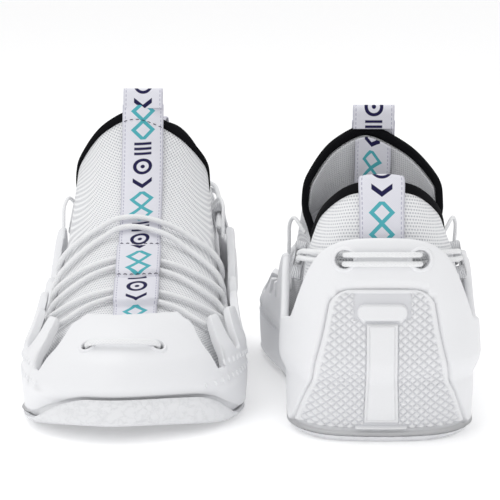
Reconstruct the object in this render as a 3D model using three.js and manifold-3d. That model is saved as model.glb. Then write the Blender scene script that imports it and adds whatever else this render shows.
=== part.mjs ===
// A pair of cheer shoes: a knit bootie laced into a moulded cage shell. One shoe is designed in its
// own frame (toe +Y, outer side of the foot +X, ground at Z 0), and the left one is its mirror in Y,
// so the pair stands side by side with one toe and one heel to the front.
import * as THREE from 'three';
import { mergeVertices } from 'three/addons/utils/BufferGeometryUtils.js';
import Module from 'manifold-3d';

const wasm = await Module();
wasm.setup();

// ---- driving dimensions, millimetres ----
const HALF_LENGTH = 134;          // half of the sole's length
const SHOE_SPACING = 110;         // centre to centre of the pair
const CENTRE_SHIFT = 0.55;        // brings the middle of the pair to X 0
const WAIST_Y = -40;              // middle of the ankle opening
const WALL_INSET = 4.8;           // foot form inside the sole outline
const GAP = 0.35;                 // clearance between pieces that touch
const KNIT = 1.5;                 // knit thickness
const KNIT_SLACK = 0.5;           // knit below the form's surface, clear of what lies on it
const LINING = 2.4;               // padded lining thickness
const SHELL_WALL = 3.7;           // moulded cage wall
const SOLE_RUBBER = 3.2;          // outsole thickness
const TOE_SPRING = 7;             // how far the toe lifts off the ground
const LACE_R = 1.3;
const CORD_R = 0.9;
const RIBBON_HALF = 9.6;          // half width of the woven ribbon
const RIBBON = 0.8;               // ribbon thickness
const LACE_LIFT = LACE_R + 0.45;  // lace centre over the knit
const UNDER_SHELL = 2 * LACE_R + 2 * GAP + 0.75;  // room for laces behind the cage
const TOE_EYELET_X = [-17, 9.4];
const TOE_EYELET_R = 2.6;
const HEEL_EYELET_X = 14.6;
const HEEL_EYELET_R = 4.05;
const TONGUE_HINGE_T = 0.83;      // height on the front profile where the tongue folds

// ---- small maths ----
const lerp = THREE.MathUtils.lerp;
const smooth = (x, a, b) => THREE.MathUtils.smoothstep(x, Math.min(a, b), Math.max(a, b));
const ramp = (x, a, b) => a < b ? smooth(x, a, b) : 1 - smooth(x, a, b);
const bump = (x, centre, half, soft) => ramp(Math.abs(x - centre), half + soft, half);

function keyed(keys, x) {
  if (x <= keys[0][0]) return keys[0][1];
  for (let i = 1; i < keys.length; i++) {
    const [a, va] = keys[i - 1];
    const [b, vb] = keys[i];
    if (x <= b) return lerp(va, vb, smooth(x, a, b));
  }
  return keys[keys.length - 1][1];
}

function solve(f, target, a, b) {
  const rising = f(b) > f(a);
  for (let i = 0; i < 40; i++) {
    const mid = (a + b) / 2;
    if ((f(mid) < target) === rising) a = mid; else b = mid;
  }
  return (a + b) / 2;
}

// ---- foot form: u runs from the heel (0) round the outer side to the toe (0.5) and back ----
const soleOutline = new THREE.CatmullRomCurve3([
  [0, -134], [27, -128.5], [40.5, -110], [43, -78], [41.5, -36], [43, 4], [48.5, 42], [50.5, 76],
  [35, 112], [-8, 134], [-41, 116], [-52, 80], [-49.5, 44], [-42.5, 6], [-39, -34], [-41, -78],
  [-39, -110], [-26.5, -128.5],
].map(([x, y]) => new THREE.Vector3(x, y, 0)), true, 'centripetal');

// front, rear and side profiles by height parameter t: 0 at the sole, 1 at the collar edge
const profile = points => new THREE.CatmullRomCurve3(
  points.map(p => new THREE.Vector3(...p)), false, 'centripetal');
const frontLine = profile([[115, 3, -0.25], [123, 17, 0], [127, 22, 0.15], [122, 29, 0.3],
  [106, 38.5, 0.42], [84, 45, 0.5], [56, 55, 0.6], [25, 68, 0.7], [-6, 87, 0.8],
  [-23, 107, 0.9], [-33, 129, 1]]);
const rearLine = profile([[-124.5, 2, -0.25], [-126.5, 19, 0], [-127, 27, 0.15], [-127.5, 38, 0.3],
  [-126, 60, 0.5], [-123, 86, 0.7], [-120, 101, 0.85], [-117, 114, 1]]);
const sideLine = profile([[0.98, 2, -0.25], [1, 18, 0], [1, 23, 0.15], [1, 31, 0.3], [0.97, 45, 0.5],
  [0.92, 60, 0.7], [0.87, 70, 0.85], [0.82, 79, 1]]);
const pinchKeys = [[0.1, 0], [0.5, 0.4], [0.75, 0.45], [1, 0.45]];
const rearPinchKeys = [[0.6, 0], [1, 0.25]];

function tableOf(curve) {
  const rows = curve.getPoints(300);
  return t => {
    let i = 1;
    while (i < rows.length - 1 && rows[i].z < t) i++;
    const a = rows[i - 1];
    const b = rows[i];
    return a.clone().lerp(b, (t - a.z) / (b.z - a.z));
  };
}
const frontAt = tableOf(frontLine);
const rearAt = tableOf(rearLine);
const sideAt = tableOf(sideLine);

function outlineAt(u, inset) {
  const wrapped = ((u % 1) + 1) % 1;
  const p = soleOutline.getPoint(wrapped);
  const d = soleOutline.getTangent(wrapped);
  return new THREE.Vector3(p.x - d.y * inset, p.y + d.x * inset, 0);
}

function form(u, t) {
  const foot = outlineAt(u, WALL_INSET);
  const front = foot.y > WAIST_Y;
  const reach = HALF_LENGTH - WALL_INSET + (front ? -WAIST_Y : WAIST_Y);
  const along = Math.abs(foot.y - WAIST_Y) / reach;
  const end = front ? frontAt(t) : rearAt(t);
  const side = sideAt(t);
  const pinch = keyed(front ? pinchKeys : rearPinchKeys, t) * along * along;
  const crown = 1.25 + 0.4 * ramp(t, 0.75, 1);
  return new THREE.Vector3(foot.x * side.x * (1 - pinch),
    WAIST_Y + (end.x - WAIST_Y) * along,
    lerp(side.y, end.y, along ** crown));
}

function surface(u, t, off) {
  const step = 0.004;
  const alongU = form(u + step, t).sub(form(u - step, t));
  const alongT = form(u, t + step).sub(form(u, t - step));
  return form(u, t).addScaledVector(alongU.cross(alongT).normalize(), off);
}

// u on one side (+1 outer, -1 inner) where the form at height t passes y
function uAt(side, y, t) {
  const [a, b] = side > 0 ? [0, 0.5] : [1, 0.5];
  return solve(u => form(u, t).y, y, a, b);
}

// u where the form at height t passes x, near the toe line (front) or the heel line
const uFront = (x, t) => solve(u => -form(u, t).x, -x, 0.3, 0.7);
const uHeel = (x, t) => solve(u => form(u, t).x, x, -0.16, 0.16);

// ---- solids from grids of points ----
function solid(points, faces) {
  const geometry = new THREE.BufferGeometry();
  geometry.setAttribute('position', new THREE.Float32BufferAttribute(
    points.flatMap(p => [p.x, p.y, p.z]), 3));
  geometry.setIndex(faces.flat());
  return geometry;
}

// closed solid from stacked rings; the first and last rings are closed by strips across the shoe
function ringStack(rings) {
  const n = rings[0].length;
  const faces = [];
  for (let j = 0; j + 1 < rings.length; j++) {
    for (let i = 0; i < n; i++) {
      const a = j * n + i;
      const b = j * n + (i + 1) % n;
      faces.push([a, b, b + n], [a, b + n, a + n]);
    }
  }
  const close = (base, up) => {
    for (let i = 0; i < n / 2; i++) {
      const quad = [i, i + 1, n - i - 1, n - i].map(k => base + k % n);
      const [a, b, c, d] = up ? quad : quad.reverse();
      if (new Set([a, b, c]).size === 3) faces.push([a, b, c]);
      if (new Set([a, c, d]).size === 3) faces.push([a, c, d]);
    }
  };
  close(0, false);
  close((rings.length - 1) * n, true);
  return solid(rings.flat(), faces);
}

// closed sheet: nu by nv points on its outer and inner faces, joined round the four edges
function sheet(nu, nv, pointAt) {
  const points = [];
  for (const layer of [1, 0]) {
    for (let j = 0; j < nv; j++) {
      for (let i = 0; i < nu; i++) points.push(pointAt(i / (nu - 1), j / (nv - 1), layer));
    }
  }
  const at = (i, j, layer) => (layer ? 0 : nu * nv) + j * nu + i;
  const faces = [];
  const quad = (a, b, c, d) => faces.push([a, b, c], [a, c, d]);
  for (let j = 0; j + 1 < nv; j++) {
    for (let i = 0; i + 1 < nu; i++) {
      quad(at(i, j, 1), at(i + 1, j, 1), at(i + 1, j + 1, 1), at(i, j + 1, 1));
      quad(at(i, j, 0), at(i, j + 1, 0), at(i + 1, j + 1, 0), at(i + 1, j, 0));
    }
  }
  for (let i = 0; i + 1 < nu; i++) {
    quad(at(i, 0, 0), at(i + 1, 0, 0), at(i + 1, 0, 1), at(i, 0, 1));
    quad(at(i, nv - 1, 1), at(i + 1, nv - 1, 1), at(i + 1, nv - 1, 0), at(i, nv - 1, 0));
  }
  for (let j = 0; j + 1 < nv; j++) {
    quad(at(0, j, 1), at(0, j + 1, 1), at(0, j + 1, 0), at(0, j, 0));
    quad(at(nu - 1, j, 0), at(nu - 1, j + 1, 0), at(nu - 1, j + 1, 1), at(nu - 1, j, 1));
  }
  return solid(points, faces);
}

function tube(points, radius, steps) {
  const path = new THREE.CatmullRomCurve3(points, false, 'centripetal');
  const section = new THREE.Shape();
  section.absarc(0, 0, radius, 0, Math.PI * 2);
  return new THREE.ExtrudeGeometry(section, { steps, curveSegments: 4, extrudePath: path });
}

function merged(geometry) {
  geometry.deleteAttribute('normal');
  geometry.deleteAttribute('uv');
  return mergeVertices(geometry, 1e-4);
}

function toManifold(geometry) {
  const clean = merged(geometry);
  return new wasm.Manifold(new wasm.Mesh({ numProp: 3,
    vertProperties: Float32Array.from(clean.attributes.position.array),
    triVerts: Uint32Array.from(clean.index.array) }));
}

function fromManifold(manifold) {
  const mesh = manifold.getMesh();
  const geometry = new THREE.BufferGeometry();
  geometry.setAttribute('position', new THREE.BufferAttribute(mesh.vertProperties, 3));
  geometry.setIndex(new THREE.BufferAttribute(mesh.triVerts, 1));
  return geometry;
}

// a straight drill through the shell at (u, t), along the surface normal
function drill(u, t, radius) {
  const inner = surface(u, t, -6);
  const outer = surface(u, t, 16);
  const bar = new THREE.CylinderGeometry(radius, radius, inner.distanceTo(outer), 14);
  const axis = outer.clone().sub(inner).normalize();
  bar.applyQuaternion(new THREE.Quaternion().setFromUnitVectors(new THREE.Vector3(0, 1, 0), axis));
  return bar.translate(...inner.add(outer).multiplyScalar(0.5).toArray());
}

// ---- materials ----
const material = (color, roughness) => new THREE.MeshStandardMaterial({ color, roughness, metalness: 0 });
const foamWhite = () => material(0xeceeef, 0.5);
const rubberWhite = () => material(0xe6e8e9, 0.45);
const knitWhite = () => material(0xebedf0, 0.85);
const liningGrey = () => material(0xb9bcc2, 0.9);
const bindingBlack = () => material(0x17181a, 0.85);
const ribbonLilac = () => material(0xdcdcea, 0.6);
const laceWhite = () => material(0xf1f2f2, 0.75);
const boardTan = () => material(0xc9c3b4, 0.9);

// ---- sole parts ----
const spring = y => TOE_SPRING * ramp(y, 70, 136) ** 1.5;

// the outsole wraps up round the toe, further on the outer side; elsewhere it hides under the cage
const wrapMask = u => bump(u, 0.485, 0.03, 0.055);
const wrapHeight = u => SOLE_RUBBER + 9 * wrapMask(u);

function outsole() {
  const wall = u => 1.2 - 1.4 * wrapMask(u);
  const ring = (inset, heightAt, count = 60) => Array.from({ length: count }, (_, i) => {
    const p = outlineAt(i / count, wall(i / count) + inset);
    return p.setZ(heightAt(i / count) + spring(p.y));
  });
  return ringStack([ring(5.5, () => 0), ring(1.2, () => 1.2), ring(0, wrapHeight), ring(2.4, wrapHeight),
    ring(2.9, () => SOLE_RUBBER), ring(8, () => SOLE_RUBBER)]);
}

// the cage's top edge: height parameter t against y, from the heel to the toe, the same on both sides
const cageEdge = [[-134.5, 0.73], [-114, 0.46], [-84, 0.45], [-44, 0.79], [-12, 0.8],
  [2, 0.62], [9, 0.44], [14, 0.44], [19, 0.57], [27, 0.56], [33, 0.4], [38, 0.4], [44, 0.52],
  [52, 0.51], [58, 0.33], [63, 0.33], [69, 0.46], [77, 0.455], [82, 0.27], [86, 0.27], [92, 0.44],
  [98, 0.44], [102, 0.2], [106, 0.2], [113, 0.44], [118, 0.47], [134, 0.475]];
const INNER_SHIFT = 7;                // the cap's slit sits further forward on the inner side
const footY = u => outlineAt(u, WALL_INSET).y * HALF_LENGTH / (HALF_LENGTH - WALL_INSET);
function edgeAt(u) {
  const y = footY(u);
  return keyed(cageEdge, y - (u > 0.5 ? INNER_SHIFT * ramp(y, 78, 104) : 0));
}

// the cage stands off the knit where laces run behind it, most at the wings beside the ankle
function standOff(u, t) {
  const y = footY(u);
  const laces = UNDER_SHELL * ramp(t, 0.12, 0.3);
  const wing = 3.4 * bump(y, -20, 26, 40) * ramp(t, 0.3, 0.8);
  const counter = 0.9 * ramp(y, -108, -120) * ramp(t, 0.4, 0.55);
  return GAP + laces + wing + counter;
}
const cageInner = (u, t) => surface(u, t, standOff(u, t));

// stations round the cage, closer together where its edge has fingers
function cageStations() {
  const ys = [-133.5, -132, -130, -127, -123, -117, -107, -97, -91, -85, -73, -62, -52, -43, -28,
    -12, -7, -2, 4, 9, 14, 16.5, 19, 27, 30, 33, 38, 41, 44, 52, 55, 58, 63, 66, 69, 77, 79.5, 82, 86,
    89, 92, 98, 100, 102, 106, 109, 113, 118, 124, 130];
  const scale = (HALF_LENGTH - WALL_INSET) / HALF_LENGTH;
  const on = side => ys.map(y => solve(u => outlineAt(u, WALL_INSET).y, y * scale,
    side > 0 ? 0 : 1, 0.5));
  return [0, ...on(1), 0.5, ...on(-1).reverse()];
}

// heel panel: its half width at height t
const PANEL_TOP = 0.56;
const PANEL_FOOT = -0.19;
const PANEL_THICK = 1.6;
const panelHalf = t =>
  19 + 14.5 * (PANEL_TOP - Math.min(t, PANEL_TOP)) / (PANEL_TOP - PANEL_FOOT);
const wallOff = (u, t) => standOff(u, t) + SHELL_WALL + 0.9 * ramp(t, 0.3, 0.05);
const cageOuter = (u, t) => surface(u, t, wallOff(u, t));

// patch over the heel counter: half width at height t, from one depth to another off the cage wall
const heelPatch = (half, low, high, from, to, nu, nv) => sheet(nu, nv, (a, b, layer) => {
  const t = lerp(low, high, b);
  const u = uHeel(lerp(-half(t), half(t), a), t);
  return surface(u, t, wallOff(u, t) + (layer ? to : from));
});

// the cage's outer wall starts just above the outsole and its toe wrap
const cageFoot = u => solve(t => cageOuter(u, t).z,
  wrapHeight(u) + 2 * GAP + spring(outlineAt(u, 0).y), -0.25, 0.3);

function cage() {
  const us = cageStations();
  const tuck = u => 3.7 * bump(u, 0.485, 0.1, 0.035);
  const base = (inset, heightAt) => us.map(u => {
    const p = outlineAt(u, inset + tuck(u));
    return p.setZ(heightAt(u) + GAP + spring(p.y));
  });
  const feet = us.map(cageFoot);
  const level = (face, share) => us.map((u, i) => face(u, lerp(feet[i], edgeAt(u), share)));
  const outer = [0, 0.2, 0.45, 0.7, 0.93].map(s => level(cageOuter, s));
  const edge = share => us.map(u => cageOuter(u, edgeAt(u)).lerp(cageInner(u, edgeAt(u)), share));
  const inner = [0.85, 0.6, 0.36, 0.14, 0].map(s =>
    us.map(u => cageInner(u, lerp(-0.02, edgeAt(u), s))));
  const floor = us.map(u => outlineAt(u, 16).setZ(form(u, 0).z - 4 - GAP));
  const stack = ringStack([base(9.5, () => SOLE_RUBBER), base(0.6, () => SOLE_RUBBER),
    base(0.3, wrapHeight), ...outer, edge(0.3), edge(0.85), ...inner, floor]);
  const pocket = heelPatch(t => panelHalf(t) + GAP, PANEL_FOOT - 0.004, PANEL_TOP + 0.004,
    -PANEL_THICK - GAP, 4, 13, 7);
  return cut(stack, [...eyeletDrills(), pocket]);
}

function cut(geometry, tools) {
  let body = toManifold(geometry);
  for (const tool of tools) body = body.subtract(toManifold(tool));
  return fromManifold(body);
}

function joined(geometry, pieces) {
  let body = toManifold(geometry);
  for (const piece of pieces) body = body.add(toManifold(piece));
  return fromManifold(body);
}

const TOE_EYELET_T = 0.36;
const HEEL_EYELET_T = 0.655;
function eyeletDrills() {
  return [...TOE_EYELET_X.map(x => drill(uFront(x, TOE_EYELET_T), TOE_EYELET_T, TOE_EYELET_R)),
    ...[-1, 1].map(side => drill(uHeel(side * HEEL_EYELET_X, HEEL_EYELET_T), HEEL_EYELET_T,
      HEEL_EYELET_R))];
}

// the hidden cushion between the cage floor and the bootie
function midsoleInsert() {
  const ring = (inset, z) => Array.from({ length: 24 }, (_, i) =>
    outlineAt(i / 24, inset).setZ(form(i / 24, 0).z + z));
  return ringStack([ring(18, -3.8), ring(17.4, -3.3), ring(17.4, -1), ring(18, -GAP)]);
}

// ---- bootie ----
const TONGUE_U = [0.235, 0.765];      // the tongue runs between the two ankle notches
const BINDING = 3.6;                  // binding width
const riseAt = (u, t) => form(u, t).distanceTo(form(u, t - 0.02)) / 0.02;    // millimetres per unit of t
const below = (u, mm) => 1 - mm / riseAt(u, 1);
const knitTop = u => below(u, BINDING + 3 * GAP);

// top edge of the fixed knit: the collar at the rear, the tongue's fold line at the front
function knitEdge(u) {
  const front = bump(u, 0.5, 0.2, 0.06);
  return lerp(knitTop(u), TONGUE_HINGE_T - 0.008, front);
}

function bootie() {
  const n = 42;
  const us = Array.from({ length: n }, (_, i) => i / n);
  const level = (share, off) => us.map(u => surface(u, knitEdge(u) * share, off));
  const sole = (inset, z) => us.map(u => outlineAt(u, WALL_INSET + inset).setZ(form(u, 0).z + z));
  const outer = [0.04, 0.2, 0.4, 0.52, 0.62, 0.71, 0.79, 0.86, 0.93, 1];
  return ringStack([sole(9, 0), ...outer.map(s => level(s, -KNIT_SLACK)),
    ...[1, 0.86, 0.68, 0.4, 0.1].map(s => level(s, -KNIT_SLACK - KNIT)), sole(11, KNIT)]);
}

function insole() {
  const n = 28;
  const ring = (inset, z) => Array.from({ length: n }, (_, i) =>
    outlineAt(i / n, inset + WALL_INSET).setZ(form(i / n, 0).z + KNIT + z));
  return ringStack([ring(13, GAP), ring(7.5, 3.6), ring(7.5, 5), ring(9, 5.6), ring(11, 5.4)]);
}

// a piece of the form between two u's, with its own lower and upper edge and two depths
function formPiece(uRange, tLow, tHigh, offs, nu, nv) {
  return sheet(nu, nv, (a, b, layer) => {
    const u = lerp(...uRange, a);
    return surface(u, lerp(tLow(u), tHigh(u), b), offs[1 - layer]);
  });
}

const tongueLow = u => Math.min(knitEdge(u) + 0.006 + 0.039 * ramp(Math.abs(u - 0.5), 0.17, 0.22),
  knitTop(u) - 0.006);
const tongueSpan = TONGUE_U.map((u, i) => u + (i ? -0.021 : 0.021));
const tongueTop = u => below(u, BINDING + 5 * GAP);
const tongue = () => formPiece(tongueSpan, u => Math.min(tongueLow(u), tongueTop(u) - 0.006), tongueTop,
  [-KNIT_SLACK, -KNIT_SLACK - KNIT], 21, 3);
const liningTop = u => below(u, BINDING + 1.5);
const tongueLining = () => formPiece([0.28, 0.72], u => tongueLow(u) + 0.01, liningTop,
  [-KNIT - 1.1, -KNIT - 1.1 - LINING], 15, 3);
const binding = uRange => formPiece(uRange, u => below(u, BINDING), () => 1, [0.4, -KNIT - 1.1], 21, 2);
const frontBinding = () => binding(tongueSpan);
const rearBinding = () => binding([TONGUE_U[1] - 1.002, TONGUE_U[0] + 0.002]);
const collarLining = () => formPiece([-0.2, 0.2], () => 0.5, liningTop,
  [-KNIT - 1.6, -KNIT - 1.6 - LINING], 23, 5);

// ---- ribbons ----
// a strip of constant width over the form; off(t, x) is the lift of its underside
function ribbon(uOf, half, tRange, off, steps) {
  return sheet(3, steps, (a, b, layer) => {
    const t = lerp(...tRange, b);
    const x = lerp(half, -half, a) * (uOf === uHeel ? -1 : 1);
    return surface(uOf(x, t), t, off(t, x) + (layer ? RIBBON : 0));
  });
}

// laces that run under the ribbon push it up
const vampLift = t => GAP + 0.2 + (2 * LACE_R + GAP)
  * Math.max(bump(t, 0.577, 0.031, 0.012), bump(t, 0.663, 0.031, 0.012));
const vampRibbon = () => ribbon(uFront, RIBBON_HALF, [0.475, TONGUE_HINGE_T - 0.014], vampLift, 25);
// the tongue's length of the ribbon runs over its binding to the top
const tongueRibbon = () => ribbon(uFront, RIBBON_HALF, [TONGUE_HINGE_T + 0.004, 0.998],
  () => 0.6 + GAP, 6);

// ribbon bent along a flat path in the plane X = 0: path points (y, z), thickness across the path
function bentRibbon(path, half, steps) {
  const curve = new THREE.CatmullRomCurve3(path.map(([y, z]) => new THREE.Vector3(0, y, z)),
    false, 'centripetal');
  return sheet(3, steps, (a, b, layer) => {
    const p = curve.getPoint(b);
    const d = curve.getTangent(b);
    const out = new THREE.Vector3(0, d.z, -d.y).multiplyScalar(layer ? RIBBON / 2 : -RIBBON / 2);
    return p.add(out).setX(lerp(half, -half, a));
  });
}

// frame at the tongue's top edge: (along the tongue, out of the tongue) to (y, z)
function tonguePlane(along, out) {
  const top = frontAt(1);
  const d = top.clone().sub(frontAt(0.93)).setZ(0).normalize();
  return [top.x + d.x * along + d.y * out, top.y + d.y * along - d.x * out];
}
const TAB_HEIGHT = 11;
const tonguePullTab = () => bentRibbon([[1, 1.3], [5, 1.2], [9, 0.6], [TAB_HEIGHT - 1, -0.6],
  [9, -1.9], [5, -2.6], [1, -2.7]].map(p => tonguePlane(...p)), RIBBON_HALF, 12);
const tongueTail = () => ribbon(uFront, RIBBON_HALF, [0.885, 0.985],
  () => -KNIT - LINING - 2 - RIBBON, 4);

// the heel ribbon runs from the counter's rim up over the collar and down inside
const HEEL_T_MM = 95;                 // millimetres of heel per unit of t
function heelRibbon() {
  const path = new THREE.CatmullRomCurve3([[0.728, 0.8], [0.8, 0.8], [0.88, 0.8], [0.95, 1.35],
    [0.99, 1.4], [1.017, 0.9], [1.028, -1], [1.015, -3.2], [0.985, -5.2], [0.935, -7], [0.9, -7.1]]
    .map(([t, off]) => new THREE.Vector3(t * HEEL_T_MM, off, 0)), false, 'centripetal');
  return sheet(3, 15, (a, b, layer) => {
    const p = path.getPoint(b);
    const d = path.getTangent(b);
    const k = layer ? RIBBON / 2 : -RIBBON / 2;
    const t = (p.x - d.y * k) / HEEL_T_MM;
    return surface(uHeel(lerp(-RIBBON_HALF, RIBBON_HALF, a), Math.min(t, 1)), t, p.y + d.x * k);
  });
}

// ---- heel panel with its raised tab and column ----
function heelPanel() {
  return joined(heelPatch(panelHalf, PANEL_FOOT, PANEL_TOP, -PANEL_THICK, 0, 13, 7), [
    heelPatch(() => 10.3, 0.47, 0.545, -0.8, 1.3, 4, 2),
    heelPatch(() => 7, PANEL_FOOT + 0.01, 0.44, -0.8, 1.1, 3, 5),
  ]);
}

// ---- laces ----
// where a lace pair leaves the vamp on each side: [y, t] of its upper and lower strand, and the
// height t at which each strand crosses the middle
const lacePairs = {
  lace_top: { sides: [[0, 0.55], [20, 0.5]], cross: [0.757, 0.738], over: true },
  lace_middle: { sides: [[30, 0.5], [45, 0.46]], cross: [0.676, 0.655], over: false },
  lace_lower: { sides: [[55, 0.44], [70, 0.4]], cross: [0.59, 0.568], over: false },
};

const RIBBON_CLEAR = RIBBON + 2 * GAP + 0.2;   // extra lift of a lace that crosses over the ribbon

function strand([y, tSide], crossT, over) {
  const half = side => {
    const uEnd = uAt(side, y, tSide);
    return [0, 0.14, 0.3, 0.46, 0.62, 0.76, 0.88].map(s => {
      const u = lerp(uEnd, 0.5, s);
      const t = lerp(tSide, crossT, Math.sin(s * Math.PI / 2));
      const x = Math.abs(form(u, t).x);
      return surface(u, t, LACE_LIFT + (over ? RIBBON_CLEAR * ramp(x, 18, 12.5) : 0));
    });
  };
  const middle = surface(0.5, crossT, LACE_LIFT + (over ? RIBBON_CLEAR : 0));
  return [...half(1), middle, ...half(-1).reverse()];
}

function lacePair({ sides, cross, over }) {
  const turn = (side, y, t) => surface(uAt(side, y, t), t, LACE_LIFT + 0.2);
  const [[y0, t0], [y1, t1]] = sides;
  const upper = strand(sides[0], cross[0], over).reverse();
  const lower = strand(sides[1], cross[1], over);
  return tube([turn(-1, y0, t0 - 0.06), ...upper, turn(1, y0 + 0.5, t0 - 0.04),
    turn(1, (y0 + y1) / 2, Math.min(t0, t1) - 0.07), turn(1, y1 - 0.5, t1 - 0.04), ...lower,
    turn(-1, y1, t1 - 0.06)], LACE_R, 27);
}

function toeLace() {
  const T = TOE_EYELET_T;
  const [left, right] = TOE_EYELET_X;
  const route = [[left - 13, 0.4, 1.5], [left - 4.5, T + 0.006, 1.3], [left - 0.4, T, 2.6], [left, T, 6],
    [left + 0.4, T, 8.9], [left + 4, T + 0.003, 10.5], [(left + right) / 2, T + 0.007, 10.8],
    [right - 4, T + 0.003, 10.5], [right - 0.4, T, 8.9], [right, T, 6], [right + 0.4, T, 2.6],
    [right + 4.5, T + 0.006, 1.3], [right + 13, 0.4, 1.5]];
  return tube(route.map(([x, t, off]) => surface(uFront(x, t), t, off)), LACE_R, 19);
}

function heelLace() {
  const T = HEEL_EYELET_T;
  const X = HEEL_EYELET_X;
  const apart = 0.0146;
  const half = (side, level) => [
    [uAt(side, -57, 0.75 + level), 0.755 + level, 3], [uAt(side, -75, 0.74 + level), 0.745 + level, 3],
    [uAt(side, -92, 0.72 + level), 0.72 + level, 2.4], [uAt(side, -107, 0.69 + level), 0.69 + level, 2.5],
    [uHeel(side * (X + 5), T), T + level + 0.006, 2.2], [uHeel(side * (X + 0.6), T), T + level, 3.6],
    [uHeel(side * X, T), T + level, 6], [uHeel(side * (X - 0.4), T), T + level, 9.2],
    [uHeel(side * (X - 4), T), T + level, 11.2]].map(p => surface(...p));
  const turn = surface(uAt(1, -52.5, 0.75), 0.757, 3);
  return tube([...half(-1, apart), surface(0, T + apart, 11.2), ...half(1, apart).reverse(), turn,
    ...half(1, -apart), surface(0, T - apart, 11.2), ...half(-1, -apart).reverse()], LACE_R - 0.1, 58);
}

// elastic webbing keeper that holds the heel lace beside the ankle
function laceKeeper(side) {
  const at = (y, t, off) => surface(uAt(side, y, t), t, off);
  const along = at(-60, 0.75, 3).sub(at(-72, 0.75, 3)).normalize();
  const out = at(-66, 0.75, 6).sub(at(-66, 0.75, 0)).normalize();
  const up = along.clone().cross(out).multiplyScalar(-side).normalize();
  const outer = new THREE.Shape();
  outer.moveTo(-2.6, -9).lineTo(2.6, -9).lineTo(2.6, 8).lineTo(-2.6, 8).closePath();
  const slot = new THREE.Path();
  slot.moveTo(-1.6, -3.6).lineTo(-1.6, 4.2).lineTo(1.6, 4.2).lineTo(1.6, -3.6).closePath();
  outer.holes.push(slot);
  const band = new THREE.ExtrudeGeometry(outer, { depth: 6, bevelEnabled: false, steps: 1 });
  band.translate(0, 0, -3);
  const face = new THREE.Matrix4().makeBasis(out, up, out.clone().cross(up));
  return band.applyMatrix4(face.setPosition(at(-66, 0.75, 3.1)));
}

// thin cord from the ankle notch to the top of the cage's wing
function notchCord(side) {
  const start = surface(side > 0 ? 0.262 : 0.738, 0.93, GAP + CORD_R + 0.6);
  const u = uAt(side, -20, 0.74);
  const end = surface(u, 0.74, standOff(u, 0.74) - GAP - CORD_R - 0.3);
  const lift = (share, out, up) =>
    start.clone().lerp(end, share).add(new THREE.Vector3(side * out, 0, up));
  return tube([start, lift(0.12, 1.5, 5), lift(0.35, 2.5, 11), lift(0.62, 2.5, 11), lift(0.85, 1, 5), end],
    CORD_R, 10);
}

// ---- one shoe and the pair ----
const pieces = [
  ['outsole', rubberWhite, outsole], ['cage_shell', foamWhite, cage],
  ['midsole_insert', boardTan, midsoleInsert],
  ['bootie', knitWhite, bootie], ['insole', liningGrey, insole], ['tongue', knitWhite, tongue],
  ['tongue_lining', liningGrey, tongueLining], ['tongue_binding', bindingBlack, frontBinding],
  ['collar_binding', bindingBlack, rearBinding], ['collar_lining', liningGrey, collarLining],
  ['vamp_ribbon', ribbonLilac, vampRibbon], ['tongue_ribbon', ribbonLilac, tongueRibbon],
  ['tongue_pull_tab', ribbonLilac, tonguePullTab], ['tongue_ribbon_tail', ribbonLilac, tongueTail],
  ['heel_ribbon', ribbonLilac, heelRibbon], ['heel_panel', rubberWhite, heelPanel],
  ...Object.entries(lacePairs).map(([name, pair]) => [name, laceWhite, () => lacePair(pair)]),
  ['lace_toe', laceWhite, toeLace], ['lace_heel', laceWhite, heelLace],
  ['notch_cord_outer', laceWhite, () => notchCord(1)],
  ['notch_cord_inner', laceWhite, () => notchCord(-1)],
  ['lace_keeper_outer', laceWhite, () => laceKeeper(1)],
  ['lace_keeper_inner', laceWhite, () => laceKeeper(-1)],
];

function shoe(label) {
  const group = new THREE.Group();
  for (const [name, finish, shape] of pieces) {
    const mesh = new THREE.Mesh(merged(shape()), finish());
    mesh.name = `${label}_${name}`;
    group.add(mesh);
  }
  return group;
}

const pair = new THREE.Group();
const right = shoe('right');
right.position.x = SHOE_SPACING / 2 + CENTRE_SHIFT;
const left = shoe('left');
left.position.x = -SHOE_SPACING / 2 + CENTRE_SHIFT;
left.scale.y = -1;
pair.add(right, left);

export default pair;
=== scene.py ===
import math

import bmesh
import bpy
import numpy as np
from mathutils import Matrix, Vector


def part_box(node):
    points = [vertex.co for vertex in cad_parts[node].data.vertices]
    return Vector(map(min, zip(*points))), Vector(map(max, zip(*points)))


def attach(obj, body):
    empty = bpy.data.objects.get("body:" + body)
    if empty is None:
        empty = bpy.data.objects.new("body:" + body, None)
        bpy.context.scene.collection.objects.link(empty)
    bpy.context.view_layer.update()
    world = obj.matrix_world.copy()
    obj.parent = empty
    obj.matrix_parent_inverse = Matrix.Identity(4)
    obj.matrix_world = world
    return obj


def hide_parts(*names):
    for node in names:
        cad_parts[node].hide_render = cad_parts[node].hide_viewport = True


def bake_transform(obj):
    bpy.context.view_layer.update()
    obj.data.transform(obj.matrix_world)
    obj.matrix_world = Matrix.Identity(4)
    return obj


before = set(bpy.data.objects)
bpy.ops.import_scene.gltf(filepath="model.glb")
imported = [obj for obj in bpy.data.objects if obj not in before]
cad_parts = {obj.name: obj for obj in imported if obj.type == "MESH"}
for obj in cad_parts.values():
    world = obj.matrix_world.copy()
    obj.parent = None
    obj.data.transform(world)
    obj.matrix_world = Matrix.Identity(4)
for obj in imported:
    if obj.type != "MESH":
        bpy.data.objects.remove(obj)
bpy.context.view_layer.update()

# --------------------------------------------------------------
# Stage: a plain pale floor under a big soft box, with the pair seen from a little above ankle
# height through a long lens. The floor is not part of the shoes.
# --------------------------------------------------------------
scene = bpy.context.scene
scene.view_settings.view_transform = "Standard"

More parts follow.
